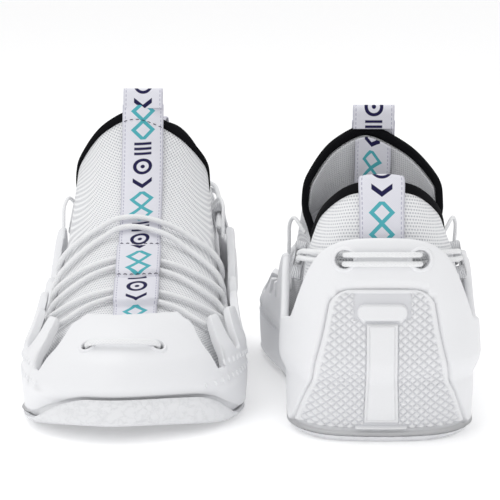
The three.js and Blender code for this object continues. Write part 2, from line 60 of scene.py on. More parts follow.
floor_mesh = bpy.data.meshes.new("floor")
floor_mesh.from_pydata([(-6, -4, 0), (6, -4, 0), (6, 10, 0), (-6, 10, 0)], [], [(0, 1, 2, 3)])
floor = bpy.data.objects.new("floor", floor_mesh)
scene.collection.objects.link(floor)
floor_paint = bpy.data.materials.new("floor_white")
floor_paint.use_nodes = True
floor_shader = floor_paint.node_tree.nodes["Principled BSDF"]
floor_shader.inputs["Base Color"].default_value = (0.965, 0.965, 0.97, 1)
floor_shader.inputs["Roughness"].default_value = 0.6
floor_shader.inputs["Emission Color"].default_value = (1, 1, 1, 1)
floor_shader.inputs["Emission Strength"].default_value = 0.2
floor_mesh.materials.append(floor_paint)

world = bpy.data.worlds.new("studio")
world.use_nodes = True
world.node_tree.nodes["Background"].inputs["Color"].default_value = (1, 1, 1, 1)
world.node_tree.nodes["Background"].inputs["Strength"].default_value = 0.78
scene.world = world


def soft_box(name, place, target, size, watts):
    light = bpy.data.lights.new(name, "AREA")
    light.shape = "RECTANGLE"
    light.size, light.size_y = size
    light.energy = watts
    lamp = bpy.data.objects.new(name, light)
    lamp.location = place
    lamp.rotation_euler = (Vector(target) - Vector(place)).to_track_quat("-Z", "Y").to_euler()
    scene.collection.objects.link(lamp)


soft_box("overhead_box", (-0.25, 0.1, 1.5), (0, 0, 0), (1.1, 1.1), 6.2)
soft_box("front_box", (-0.9, -1.5, 0.9), (0, 0, 0.05), (0.7, 0.9), 2.6)

CAMERA_TILT = math.radians(9.3)
CAMERA_RANGE = 1.30
CAMERA_AIM = Vector((-0.002, 0, 0.064))
view = bpy.data.cameras.new("camera")
view.sensor_width = 36
view.lens = 194
view.clip_end = 50
camera = bpy.data.objects.new("camera", view)
camera.location = CAMERA_AIM + CAMERA_RANGE * Vector((0, -math.cos(CAMERA_TILT), math.sin(CAMERA_TILT)))
camera.rotation_euler = (math.pi / 2 - CAMERA_TILT, 0, 0)
scene.collection.objects.link(camera)
scene.camera = camera

# --------------------------------------------------------------
# Outsole: thin white rubber, moulded with a herringbone tread and a wrap that climbs the toe.
# It is cemented under the cage. Its outline is the plan that every other piece is built on.
# --------------------------------------------------------------
MM = 0.001
HALF_LENGTH = 134
WAIST_Y = -40
WALL_INSET = 4.8
SOLE_RUBBER = 3.2
TOE_SPRING = 7


def lerp(a, b, share):
    return a + (b - a) * share


def ramp(x, start, stop):
    share = np.clip((x - start) / (stop - start), 0, 1)
    return share * share * (3 - 2 * share)


def bump(x, centre, half, soft):
    return ramp(np.abs(x - centre), half + soft, half)


def keyed(keys, x):
    """Smooth steps between (place, value) keys."""
    value = np.full(np.shape(x), float(keys[0][1]))
    for (a, va), (b, vb) in zip(keys, keys[1:]):
        value = value + (vb - va) * ramp(x, a, b)
    return value


def unit(vectors):
    return vectors / np.linalg.norm(vectors, axis=-1, keepdims=True)


def run_length(line):
    """Distance along a line of points, from its first point."""
    return np.append(0, np.cumsum(np.linalg.norm(np.diff(line, axis=0), axis=-1)))


def curve_through(points, samples, closed=False):
    """Points of a centripetal Catmull-Rom curve through given points."""
    p = np.array(points, float)
    count = len(p)
    place = np.arange(samples) / samples * count if closed else np.linspace(0, count - 1, samples)
    if closed:
        p = np.concatenate([p[-1:], p, p[:2]])
    else:
        p = np.concatenate([[2 * p[0] - p[1]], p, [2 * p[-1] - p[-2]]])
        place = np.minimum(place, count - 1 - 1e-9)
    at = place.astype(int)
    s = (place - at)[:, None]
    p0, p1, p2, p3 = (p[at + k] for k in range(4))
    d0, d1, d2 = (np.sqrt(np.linalg.norm(b - a, axis=1))[:, None]
                  for a, b in ((p0, p1), (p1, p2), (p2, p3)))
    m1 = ((p1 - p0) / d0 - (p2 - p0) / (d0 + d1) + (p2 - p1) / d1) * d1
    m2 = ((p2 - p1) / d1 - (p3 - p1) / (d1 + d2) + (p3 - p2) / d2) * d1
    return (p1 + m1 * s + (-3 * p1 + 3 * p2 - 2 * m1 - m2) * s ** 2
            + (2 * p1 - 2 * p2 + m1 + m2) * s ** 3)


OUTLINE_SAMPLES = 3600
outline_xy = curve_through([
    [0, -134], [27, -128.5], [40.5, -110], [43, -78], [41.5, -36], [43, 4], [48.5, 42], [50.5, 76],
    [35, 112], [-8, 134], [-41, 116], [-52, 80], [-49.5, 44], [-42.5, 6], [-39, -34], [-41, -78],
    [-39, -110], [-26.5, -128.5]], OUTLINE_SAMPLES, closed=True)
outline_turn = unit(np.roll(outline_xy, -1, 0) - np.roll(outline_xy, 1, 0))


def outline(u, inset):
    """Plan outline: u is 0 at the heel, 0.5 at the toe, and runs up the outer side of the foot."""
    place = (np.asarray(u, float) % 1) * OUTLINE_SAMPLES
    x, y, dx, dy = (np.interp(place, np.arange(OUTLINE_SAMPLES + 1), np.append(v, v[0]))
                    for v in (*outline_xy.T, *outline_turn.T))
    return x - dy * inset, y + dx * inset


def spring(y):
    return TOE_SPRING * ramp(y, 70, 136) ** 1.5


def wrap_mask(u):
    return bump(u, 0.485, 0.03, 0.055)


def wrap_height(u):
    return SOLE_RUBBER + 9 * wrap_mask(u)


def stack(*coordinates):
    return np.stack(np.broadcast_arrays(*coordinates), -1).astype(float)


SHOES = ("right", "left")
shoe_x = {}
for shoe in SHOES:
    low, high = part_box(f"{shoe}_outsole")
    shoe_x[shoe] = (low.x + high.x) / 2 - (outline_xy[:, 0].min() + outline_xy[:, 0].max()) / 2 * MM


def make(name, shoe, points, faces, uv=None, smooth=True):
    """A mesh object from points in the shoe's own frame, in millimetres; the left shoe is mirrored."""
    place = np.array(points, float).reshape(-1, 3) * MM
    place[:, 0] += shoe_x[shoe]
    faces = [list(face) for face in faces]
    if shoe == "left":
        place[:, 1] *= -1
        faces = [face[::-1] for face in faces]
    label = f"{shoe}_{name}_made"
    mesh = bpy.data.meshes.new(label)
    mesh.from_pydata(place.tolist(), [], faces)
    if uv is not None:
        corners = np.empty(len(mesh.loops), np.int32)
        mesh.loops.foreach_get("vertex_index", corners)
        layer = mesh.uv_layers.new(name="millimetres")
        layer.data.foreach_set("uv", np.array(uv, float).reshape(-1, 2)[corners].ravel())
    if smooth:
        mesh.polygons.foreach_set("use_smooth", [True] * len(mesh.polygons))
    piece = bpy.data.objects.new(label, mesh)
    scene.collection.objects.link(piece)
    return piece


def grid_faces(rows, columns, closed=False, first=0):
    """Quads of a grid of points; a closed grid joins its last column to its first."""
    faces = []
    for j in range(rows - 1):
        for i in range(columns if closed else columns - 1):
            k = (i + 1) % columns
            faces.append((first + j * columns + i, first + j * columns + k,
                          first + (j + 1) * columns + k, first + (j + 1) * columns + i))
    return faces


def weld(piece, reach=0.02 * MM):
    """Joins points that lie on each other and turns every face outwards."""
    bm = bmesh.new()
    bm.from_mesh(piece.data)
    bmesh.ops.remove_doubles(bm, verts=bm.verts, dist=reach)
    bmesh.ops.recalc_face_normals(bm, faces=bm.faces)
    bm.to_mesh(piece.data)
    bm.free()
    return piece


def across(ring, columns, height=None):
    """Grid that fills a ring from its outer-side points to the matching inner-side ones."""
    half = len(ring) // 2
    outer = ring[:half + 1]
    inner = ring[(-np.arange(half + 1)) % len(ring)]
    share = np.linspace(0, 1, columns)[None, :, None]
    grid = lerp(outer[:, None], inner[:, None], share)
    if height is not None:
        inside = np.minimum(share, 1 - share)[..., 0] > 0
        grid[..., 2] += height(grid[..., 0], grid[..., 1]) * inside
    return grid


def ring_body(name, shoe, rings, low_cap, high_cap):
    """Closed body from stacked rings, shut by a grid at each end."""
    rings = np.array(rings)
    rows, columns = rings.shape[:2]
    points, faces = [rings.reshape(-1, 3)], grid_faces(rows, columns, closed=True)
    count = rows * columns
    for cap, flip in ((low_cap, False), (high_cap, True)):
        made = grid_faces(cap.shape[0], cap.shape[1], first=count)
        faces += [face[::-1] for face in made] if flip else made
        points.append(cap.reshape(-1, 3))
        count += cap.shape[0] * cap.shape[1]
    return weld(make(name, shoe, np.concatenate(points), faces))


TREAD_PITCH, TREAD_DEPTH = 7.5, 1.3


def tread(x, y):
    """Herringbone grooves with a plain band round the edge."""
    stripe = np.abs(((y + 0.55 * np.abs(x)) / TREAD_PITCH) % 1 - 0.5) * 2
    edge = outline(0.25, 0)[0] - 9
    return TREAD_DEPTH * ramp(stripe, 0.62, 0.5) * ramp(np.abs(x), edge, edge - 2)


def build_outsole(shoe):
    u = np.arange(720) / 720
    arc = u * 690
    tooth = 0.3 * np.abs(((arc / 4.6) % 1) - 0.5)
    wrap = wrap_height(u)
    wall = 1.2 - 1.4 * wrap_mask(u)
    profile = [(5.5, 0, 0), (4.2, 0, 0.4), (2.6, 0.4, 1), (1.4, 1.2, 0.8), (0.6, 2.2, 0.2),
               (0.2, lerp(2.2, wrap, 0.35), 0), (0.0, lerp(2.2, wrap, 0.7), 0),
               (0.0, wrap - 0.35, 0), (0.35, wrap, 0), (1.7, wrap, 0),
               (2.1, wrap - 0.3, 0), (2.4, SOLE_RUBBER - 0.3, 0), (9, SOLE_RUBBER, 0)]
    rings = []
    for inset, height, toothed in profile:
        x, y = outline(u, inset + wall + tooth * toothed)
        rings.append(stack(x, y, height + spring(y)))
    return ring_body("outsole", shoe, rings, across(rings[0], 56, tread), across(rings[-1], 8))


class Wire:
    """A value inside a finish's node tree that can be used in sums."""

    def __init__(self, finish, socket):
        self.finish, self.socket = finish, socket

    def sum(self, operation, *others):
        return self.finish.node("ShaderNodeMath", dict(operation=operation), [self, *others])

    def __add__(self, other): return self.sum("ADD", other)
    def __radd__(self, other): return self.sum("ADD", other)
    def __sub__(self, other): return self.sum("SUBTRACT", other)
    def __rsub__(self, other): return self.sum("MULTIPLY", -1).sum("ADD", other)
    def __mul__(self, other): return self.sum("MULTIPLY", other)
    def __rmul__(self, other): return self.sum("MULTIPLY", other)
    def __truediv__(self, other): return self.sum("DIVIDE", other)
    def __mod__(self, other): return self.sum("FLOORED_MODULO", other)
    def __abs__(self): return self.sum("ABSOLUTE")

    def step(self, start, stop):
        """0 to 1 with soft ends as the value goes from start to stop."""
        return self.finish.node("ShaderNodeMapRange", dict(interpolation_type="SMOOTHSTEP"),
                                [self, start, stop, 0, 1])


class Finish:
    """A material under construction: plain shader values, then what varies over the surface."""

    def __init__(self, name, **values):
        self.material = bpy.data.materials.new(name)
        self.material.use_nodes = True
        self.tree = self.material.node_tree
        self.shader = self.tree.nodes["Principled BSDF"]
        for key, value in values.items():
            self.shader.inputs[key.replace("_", " ")].default_value = value

    def node(self, kind, settings=None, inputs=(), output=0):
        made = self.tree.nodes.new(kind)
        for key, value in (settings or {}).items():
            setattr(made, key, value)
        for key, value in inputs.items() if isinstance(inputs, dict) else enumerate(inputs):
            if isinstance(value, Wire):
                self.tree.links.new(value.socket, made.inputs[key])
            else:
                made.inputs[key].default_value = value
        return Wire(self, made.outputs[output])

    def drive(self, name, wire):
        self.tree.links.new(wire.socket, self.shader.inputs[name])

    def millimetres(self):
        """Across and along the cloth or tape, in millimetres."""
        split = self.node("ShaderNodeUVMap", dict(uv_map="millimetres"))
        self.node("ShaderNodeSeparateXYZ", {}, [split])
        parts = self.tree.nodes[-1]
        return Wire(self, parts.outputs[0]), Wire(self, parts.outputs[1])

    def noise(self, scale, detail=2.0, roughness=0.5):
        where = self.node("ShaderNodeTexCoord", output="Object")
        return self.node("ShaderNodeTexNoise", {}, dict(Vector=where, Scale=scale, Detail=detail,
                                                        Roughness=roughness))

    def mix(self, share, first, second):
        """A colour between two, by a wire from 0 to 1."""
        return self.node("ShaderNodeMix", dict(data_type="RGBA"), {0: share, 6: first, 7: second}, output=2)

    def paint(self, share, first, second):
        self.drive("Base Color", self.mix(share, first, second))

    def relief(self, height, distance, strength=1.0):
        """Raises the surface by a wire from 0 to 1, distance metres high."""
        normal = self.node("ShaderNodeBump", {}, dict(Height=height, Distance=distance, Strength=strength))
        self.drive("Normal", normal)


def dress(piece, finish, body, slot, *nodes):
    """Gives a piece its material, lets it ride, and stands it in for its plain solids. The slot is not used.
    """
    piece.data.materials.clear()
    piece.data.materials.append(finish.material)
    if body:
        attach(piece, body)
    if nodes:
        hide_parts(*nodes)
    return piece


def rubber_finish():
    finish = Finish("outsole_rubber", Roughness=0.46, Specular_IOR_Level=0.4)
    veins = finish.noise(210, 4, 0.65)
    ridge = abs(veins - 0.5).step(0.03, 0.0)
    grain = finish.noise(1500, 2)
    finish.relief(ridge * 0.6 + grain * 0.2, 0.0004, 0.5)
    finish.paint(ridge * 0.5 + grain * 0.25, (0.79, 0.795, 0.81, 1), (0.72, 0.73, 0.75, 1))
    finish.drive("Roughness", grain * 0.14 + 0.4)
    return finish


rubber = rubber_finish()
for shoe in SHOES:
    dress(build_outsole(shoe), rubber, f"{shoe}_shoe", "outsole_rubber", f"{shoe}_outsole")

# --------------------------------------------------------------
# Cage shell: one piece of moulded foam, satin white. It caps the toe, sends fingers and a wing up
# each side to take the laces, dips at the ankle and rises again as the heel counter.
# --------------------------------------------------------------
GAP = 0.35
SHELL_WALL = 3.7
LACE_R = 1.3
UNDER_SHELL = 2 * LACE_R + 2 * GAP + 0.75


def by_height(points):
    """Profile curve as a function of t, from listed points that end in their t."""
    rows = curve_through(points, 600)
    t = rows[:, 2]

    def at(height):
        height = np.asarray(height, float)
        i = np.clip(np.searchsorted(t, height), 1, len(t) - 1)
        share = (height - t[i - 1]) / (t[i] - t[i - 1])
        return lerp(rows[i - 1, 0], rows[i, 0], share), lerp(rows[i - 1, 1], rows[i, 1], share)
    return at


front_line = by_height([
    [115, 3, -0.25], [123, 17, 0], [127, 22, 0.15], [122, 29, 0.3], [106, 38.5, 0.42], [84, 45, 0.5],
    [56, 55, 0.6], [25, 68, 0.7], [-6, 87, 0.8], [-23, 107, 0.9], [-33, 129, 1]])
rear_line = by_height([
    [-124.5, 2, -0.25], [-126.5, 19, 0], [-127, 27, 0.15], [-127.5, 38, 0.3], [-126, 60, 0.5],
    [-123, 86, 0.7], [-120, 101, 0.85], [-117, 114, 1]])
side_line = by_height([
    [0.98, 2, -0.25], [1, 18, 0], [1, 23, 0.15], [1, 31, 0.3], [0.97, 45, 0.5],
    [0.92, 60, 0.7], [0.87, 70, 0.85], [0.82, 79, 1]])
PINCH = [(0.1, 0), (0.5, 0.4), (0.75, 0.45), (1, 0.45)]
REAR_PINCH = [(0.6, 0), (1, 0.25)]


def form(u, t):
    """The foot form that the knit fits: u round the shoe, t from the sole (0) to the collar (1)."""
    u, t = np.broadcast_arrays(np.asarray(u, float), np.asarray(t, float))
    x, y = outline(u, WALL_INSET)
    front = y > WAIST_Y
    reach = HALF_LENGTH - WALL_INSET + np.where(front, -WAIST_Y, WAIST_Y)
    along = np.abs(y - WAIST_Y) / reach
    (fy, fz), (ry, rz), (width, side_z) = front_line(t), rear_line(t), side_line(t)
    end_y, end_z = np.where(front, fy, ry), np.where(front, fz, rz)
    pinch = np.where(front, keyed(PINCH, t), keyed(REAR_PINCH, t)) * along ** 2
    return stack(x * width * (1 - pinch), WAIST_Y + (end_y - WAIST_Y) * along,
                 lerp(side_z, end_z, along ** (1.25 + 0.4 * ramp(t, 0.75, 1))))


def surface(u, t, off):
    """A point off millimetres outside the form."""
    step = 0.004
    u, t, off = np.broadcast_arrays(*(np.asarray(v, float) for v in (u, t, off)))
    normal = unit(np.cross(form(u + step, t) - form(u - step, t),
                           form(u, t + step) - form(u, t - step)))
    return form(u, t) + normal * off[..., None]


def bisect(value, target, low, high):
    """Where a steadily changing function meets its target."""
    target, low, high = (np.array(v, float) for v in np.broadcast_arrays(target, low, high))
    rising = value(high) > value(low)
    for _ in range(30):
        middle = (low + high) / 2
        below = (value(middle) < target) == rising
        low, high = np.where(below, middle, low), np.where(below, high, middle)
    return (low + high) / 2


def u_beside(side, y, t):
    """u on the outer (+1) or inner (-1) side where the form passes y at height t."""
    return bisect(lambda u: form(u, t)[..., 1], y, 0 if side > 0 else 1, 0.5)


def u_front(x, t):
    return bisect(lambda u: -form(u, t)[..., 0], -np.asarray(x, float), 0.3, 0.7)


def u_heel(x, t):
    return bisect(lambda u: form(u, t)[..., 0], x, -0.16, 0.16)


def foot_y(u):
    return outline(u, WALL_INSET)[1] * HALF_LENGTH / (HALF_LENGTH - WALL_INSET)


CAGE_EDGE = [(-134.5, 0.73), (-114, 0.46), (-84, 0.45), (-44, 0.79), (-12, 0.8),
             (2, 0.62), (9, 0.44), (14, 0.44), (19, 0.57), (27, 0.56), (33, 0.4), (38, 0.4), (44, 0.52),
             (52, 0.51), (58, 0.33), (63, 0.33), (69, 0.46), (77, 0.455), (82, 0.27), (86, 0.27), (92, 0.44),
             (98, 0.44), (102, 0.2), (106, 0.2), (113, 0.44), (118, 0.47), (134, 0.475)]
INNER_SHIFT = 7
PANEL_TOP, PANEL_FOOT, PANEL_THICK = 0.56, -0.19, 1.6
TOE_EYELETS = [(-17, 2.6), (9.4, 2.6)]
TOE_EYELET_T = 0.36
HEEL_EYELET_X, HEEL_EYELET_R, HEEL_EYELET_T = 14.6, 4.05, 0.655


def panel_half(t, z):
    """Half width of the heel panel, with 7 mm corners at its top; z is millimetres below the top."""
    corner = 7 * (1 - np.sqrt(1 - (1 - np.clip(z / 7, 0, 1)) ** 2))
    return 19 + 14.5 * (PANEL_TOP - t) / (PANEL_TOP - PANEL_FOOT) - corner


def stand_off(u, t):
    """How far the cage's inner face stands off the form."""
    y = foot_y(u)
    laces = UNDER_SHELL * ramp(t, 0.12, 0.3)
    wing = 3.4 * bump(y, -20, 26, 40) * ramp(t, 0.3, 0.8)
    counter = 0.9 * ramp(y, -108, -120) * ramp(t, 0.4, 0.55)
    return GAP + laces + wing + counter


def wall_off(u, t):
    return stand_off(u, t) + SHELL_WALL + 0.9 * ramp(t, 0.3, 0.05)


def panel_pocket(u, t):
    """Depth of the pocket in the counter that holds the heel panel."""
    level = np.minimum(t, PANEL_TOP)
    half = panel_half(level, rear_line(PANEL_TOP)[1] - rear_line(level)[1] + 0.4)
    inside = ramp(np.abs(form(u, level)[..., 0]), half + 1.1, half + 0.3)
    return (PANEL_THICK + GAP) * inside * ramp(t, PANEL_TOP + 0.014, PANEL_TOP + 0.006) * (foot_y(u) < -60)


def eyelet_bar(u, t, radius):
    """Cutting bar through the wall: its two ends and radius."""
    return surface(u, t, -2.0), surface(u, t, 16.0), radius


def bars():
    made = [eyelet_bar(u_front(x, TOE_EYELET_T), TOE_EYELET_T, r) for x, r in TOE_EYELETS]
    return made + [eyelet_bar(u_heel(side * HEEL_EYELET_X, HEEL_EYELET_T), HEEL_EYELET_T, HEEL_EYELET_R)
                   for side in (-1, 1)]


def frame_along(axis):
    """Two unit vectors square to an axis."""
    axis = unit(axis)
    first = unit(np.cross(axis, [0, 0, 1.0]))
    return axis, first, np.cross(axis, first)


def lathe_points(centre, axis, profile, sides):
    """Points of a turned ring: profile gives (radius, height along the axis)."""
    axis, first, second = frame_along(axis)
    angle = np.arange(sides) / sides * 2 * math.pi
    rows = [centre + axis * h + r * (first * np.cos(angle)[:, None] + second * np.sin(angle)[:, None])
            for r, h in profile]
    return np.array(rows)


def add_rings(points, faces, rows, capped=True):
    """Adds a body of stacked rings to the points and faces gathered so far."""
    count, sides = rows.shape[:2]
    first = sum(len(p) for p in points)
    points.append(rows.reshape(-1, 3))
    faces += grid_faces(count, sides, closed=True, first=first)
    if capped:
        faces += [tuple(first + k for k in range(sides))[::-1],
                  tuple(first + (count - 1) * sides + k for k in range(sides))]


EYELET_SIDES = 40


def cut_holes(piece, shoe):
    points, faces = [], []
    for inner, outer, radius in bars():
        length = np.linalg.norm(outer - inner)
        profile = [(radius, 0), (radius, length)]
        add_rings(points, faces, lathe_points(inner, outer - inner, profile, EYELET_SIDES))
    cutter = weld(make("cutter", shoe, np.concatenate(points), faces, smooth=False))
    cut = piece.modifiers.new("holes", "BOOLEAN")
    cut.operation, cut.object, cut.solver = "DIFFERENCE", cutter, "EXACT"
    apply_modifiers(piece)
    bpy.data.objects.remove(cutter)


def apply_modifiers(piece):
    graph = bpy.context.evaluated_depsgraph_get()
    finished = bpy.data.meshes.new_from_object(piece.evaluated_get(graph))
    piece.modifiers.clear()
    piece.data = finished


def build_cage(shoe):
    u = np.arange(900) / 900
    y = foot_y(u)
    edge = keyed(CAGE_EDGE, y - (u > 0.5) * INNER_SHIFT * ramp(y, 78, 104))
    wrap = wrap_height(u)
    foot = bisect(lambda t: surface(u, t, wall_off(u, t))[..., 2],
                  wrap + GAP + spring(outline(u, 0)[1]), -0.25, 0.3)
    rise = np.linalg.norm(form(u, edge) - form(u, edge - 0.01), axis=-1) / 0.01
    lip = SHELL_WALL / 2
    edge_low = edge - lip / rise

    def base(inset, height):
        x, y = outline(u, inset + 3.7 * bump(u, 0.485, 0.1, 0.035))
        return stack(x, y, height + GAP + spring(y))

    rings = [base(9.5, SOLE_RUBBER), base(0.6, SOLE_RUBBER), base(0.3, wrap)]
    for share in np.linspace(0, 1, 56):
        t = lerp(foot, edge_low, share)
        rings.append(surface(u, t, wall_off(u, t) - panel_pocket(u, t) - 0.5 * (share == 0)))
    for angle in np.linspace(0, math.pi, 11)[1:-1]:
        t = edge_low + lip / rise * math.sin(angle)
        middle = stand_off(u, t) + (wall_off(u, t) - stand_off(u, t)) / 2
        rings.append(surface(u, t, middle + (wall_off(u, t) - middle) * math.cos(angle)))
    for share in np.linspace(1, 0, 22):
        t = lerp(-0.02, edge_low, share)
        rings.append(surface(u, t, stand_off(u, t)))
    x, y = outline(u, 16)
    rings.append(stack(x, y, form(u, 0)[..., 2] - 4 - GAP))
    piece = ring_body("cage_shell", shoe, rings, across(rings[0], 3), across(rings[-1], 3))
    cut_holes(piece, shoe)
    return piece


def foam_finish():
    finish = Finish("cage_foam", Roughness=0.42, Specular_IOR_Level=0.42)
    cloud = finish.noise(9, 3)
    grain = finish.noise(2200, 2)
    finish.paint(cloud, (0.825, 0.83, 0.85, 1), (0.85, 0.855, 0.87, 1))
    finish.drive("Roughness", grain * 0.1 + cloud * 0.08 + 0.34)
    finish.relief(grain * 0.7 + cloud * 0.3, 0.0001, 0.4)
    return finish


foam = foam_finish()
for shoe in SHOES:
    dress(build_cage(shoe), foam, f"{shoe}_shoe", "cage_foam", f"{shoe}_cage_shell")

# --------------------------------------------------------------
# Heel panel: a 1.6 mm rubber plate let into the counter, 38 mm wide at its top and 67 mm at the
# ground. Small pyramids cover it, 3.7 mm wide and 3.5 mm high each. A rounded tab, a tall column
# and a stepped foot stand proud of them down the middle.
# --------------------------------------------------------------
def shell(name, shoe, outer, inner, uv=None):
    """Closed piece between an outer and an inner grid of points."""
    rows, columns = outer.shape[:2]
    count = rows * columns
    rim = ([(0, i) for i in range(columns)] + [(j, columns - 1) for j in range(1, rows)]
           + [(rows - 1, i) for i in range(columns - 2, -1, -1)] + [(j, 0) for j in range(rows - 2, 0, -1)])
    rim = [j * columns + i for j, i in rim]
    faces = grid_faces(rows, columns) + [face[::-1] for face in grid_faces(rows, columns, first=count)]
    faces += [(b, a, a + count, b + count) for a, b in zip(rim, rim[1:] + rim[:1])]
    if uv is not None:
        uv = np.concatenate([uv.reshape(-1, 2)] * 2)
    return weld(make(name, shoe, np.concatenate([outer.reshape(-1, 3), inner.reshape(-1, 3)]), faces, uv))


def block(x, z, half, low, high, soft=0.5):
    """1 inside a rounded rectangle on the heel, 0 outside it."""
    return ramp(np.abs(x), half + soft, half) * ramp(z, low - soft, low) * ramp(z, high + soft, high)


PYRAMID_WIDE, PYRAMID_HIGH, KNURL_FLOOR = 3.7, 3.5, -1.15


def build_heel_panel(shoe):
    t = np.linspace(PANEL_FOOT + 0.004, PANEL_TOP, 200)[:, None]
    half = panel_half(t, rear_line(PANEL_TOP)[1] - rear_line(t)[1] + 0.1)
    x = half * np.linspace(-1, 1, 230)[None, :]
    t = np.broadcast_to(t, x.shape)
    u = u_heel(x, t)
    z = form(u, t)[..., 2]
    a, b = ((x / PYRAMID_WIDE + way * z / PYRAMID_HIGH) % 1 for way in (1, -1))
    pyramid = 1 - 2 * np.maximum(np.abs(a - 0.5), np.abs(b - 0.5))
    side, top = half - np.abs(x), z.max() - z
    border = np.maximum(ramp(side, 2.0, 1.3), ramp(top, 2.0, 1.3))
    column = 6.0 + 0.9 * ramp(z, 40, 8)
    plain = (block(x, z, 11.2, 54.6, 99, 0.3) + block(x, z, column + 0.5, 6, 57, 0.3)
             + block(x, z, 11.6, 0, 8, 0.3))
    knurl = KNURL_FLOOR + 1.25 * np.minimum(1.5 * pyramid, 1) * (1 - np.minimum(plain, 1))
    height = lerp(knurl, 0.0, border)
    tab = np.hypot(np.maximum(np.abs(x) - 6.9, 0), np.maximum(np.abs(z - 57.6) - 0.6, 0))
    height = np.maximum(height, KNURL_FLOOR + 2.5 * ramp(tab, 3.3, 2.4))
    height = np.maximum(height, KNURL_FLOOR + 1.7 * block(x, z, column, 9.5, 52.4, 0.4))
    height = np.maximum(height, KNURL_FLOOR + 2.2 * block(x, z, 10.4, -3, 7, 0.5))
    height -= 0.5 * (block(x, z, column - 0.8, 10, 52, 0.25) - block(x, z, column - 1.3, 10.5, 51.5, 0.25))
    height -= 0.5 * ramp(side, 0.6, 0.05) + 0.5 * ramp(top, 0.6, 0.05)
    outer = surface(u, t, wall_off(u, t) + height)
    # The second UV coordinate carries the relief height, which the panel's material uses to paint shade into
    # the hollows between the pyramids.
    uv = stack(x, height)
    return shell("heel_panel", shoe, outer, surface(u, t, wall_off(u, t) - PANEL_THICK), uv)


def panel_finish():
    finish = Finish("panel_rubber", Roughness=0.4, Specular_IOR_Level=0.4)
    grain = finish.noise(1800, 2)
    depth = finish.millimetres()[1]
    skin = finish.mix(grain, (0.80, 0.805, 0.82, 1), (0.83, 0.835, 0.85, 1))
    # Painted shade: the hollows between the pyramids are coloured darker by their depth, where less light
    # reaches.
    finish.paint(depth.step(-0.35, -1.1), skin, (0.70, 0.705, 0.73, 1))
    finish.drive("Roughness", grain * 0.12 + 0.36)
    finish.relief(grain, 0.00008, 0.4)
    return finish


panel_rubber = panel_finish()
for shoe in SHOES:
    dress(build_heel_panel(shoe), panel_rubber, f"{shoe}_shoe", "outsole_rubber", f"{shoe}_heel_panel")


# --------------------------------------------------------------
# Eyelet rims: moulded rings round the two toe holes and the two heel holes, in the cage's foam.
# Each stands 0.7 mm proud of the wall and lines the first 2 mm of its hole.
# --------------------------------------------------------------
def build_rims(shoe):
    points, faces = [], []
    for inner, outer, radius in bars():
        wall = UNDER_SHELL + GAP + SHELL_WALL + 2.0
        lip = [(-0.05, -2.2), (-0.08, -0.2), (0.1, 0.5), (0.5, 0.75), (1.0, 0.7), (1.5, 0.25), (1.9, -0.5),
               (1.2, -2.2), (-0.05, -2.2)]
        extra = 0.9 if inner[1] < 0 else 0.0
        profile = [(radius + r, wall + extra + h) for r, h in lip]
        ring = lathe_points(inner, unit(outer - inner), profile, EYELET_SIDES)
        add_rings(points, faces, ring, capped=False)
    return weld(make("eyelet_rims", shoe, np.concatenate(points), faces))


for shoe in SHOES:
    dress(build_rims(shoe), foam, f"{shoe}_shoe", "cage_foam")


# --------------------------------------------------------------
# Relief studs: two rows of small moulded dashes, 3 mm long and 1.6 mm wide, that follow the foot of
# the fingers along each side of the cage.
# --------------------------------------------------------------
STUD_LONG, STUD_WIDE, STUD_PITCH, STUD_SIDES = 1.5, 0.8, 4.2, 12
STUD_PROFILE = [(1.0, -0.5), (1.0, 0.2), (0.85, 0.5), (0.5, 0.68), (0.05, 0.72)]


def build_studs(shoe):
    points, faces = [], []
    angle = (np.arange(STUD_SIDES) / STUD_SIDES * 2 * math.pi)[:, None]
    for side in (1, -1):
        for y in np.arange(20, 112, STUD_PITCH):
            for t, lean in ((0.13, 0.9), (0.215, -0.9)):
                if t > 0.2 and y > 96:
                    continue
                u = u_beside(side, y, t)
                centre = surface(u, t, wall_off(u, t) - 0.15)
                out = surface(u, t, wall_off(u, t) + 0.85) - centre
                above = t + 0.02
                long = surface(u_beside(side, y + lean, above), above, wall_off(u, above)) - centre
                long = unit(long - out * np.dot(long, out))
                ring = STUD_LONG * np.cos(angle) * long + STUD_WIDE * np.sin(angle) * np.cross(out, long)
                add_rings(points, faces, np.array([centre + out * h + r * ring for r, h in STUD_PROFILE]))
    return weld(make("relief_studs", shoe, np.concatenate(points), faces))


for shoe in SHOES:
    dress(build_studs(shoe), foam, f"{shoe}_shoe", "cage_foam")


# --------------------------------------------------------------
# Midsole insert and insole: a thin cushion hidden between the cage floor and the bootie, and a
# moulded sock liner 5.5 mm thick with a raised edge, covered in grey brushed cloth.
# --------------------------------------------------------------
KNIT = 1.5
KNIT_SLACK = 0.5
insert_foam = Finish("insert_foam", Base_Color=(0.58, 0.55, 0.48, 1), Roughness=0.9)


def build_insole(shoe):
    u = np.arange(240) / 240

    def ring(inset, height):
        x, y = outline(u, inset + WALL_INSET)
        return stack(x, y, form(u, 0)[..., 2] + KNIT + height)

    rings = [ring(13, 0.4), ring(9.4, 1.2), ring(7.8, 3.0), ring(7.4, 4.2), ring(7.7, 5.0), ring(8.4, 5.5),
             ring(9.4, 5.6), ring(11, 5.3), ring(13, 4.9)]
    return ring_body("insole", shoe, rings, across(rings[0], 12), across(rings[-1], 24))


def insole_finish():
    finish = Finish("insole_cloth", Roughness=0.95, Sheen_Weight=0.3)
    pile = finish.noise(1400, 3, 0.6)
    finish.paint(pile, (0.44, 0.45, 0.48, 1), (0.58, 0.59, 0.62, 1))
    finish.relief(pile, 0.0004, 0.6)
    return finish


insole_cloth = insole_finish()
for shoe in SHOES:
    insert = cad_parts[f"{shoe}_midsole_insert"]
    insert.data.materials.clear()
    insert.data.materials.append(insert_foam.material)
    dress(build_insole(shoe), insole_cloth, f"{shoe}_shoe", "insole_cloth", f"{shoe}_insole")
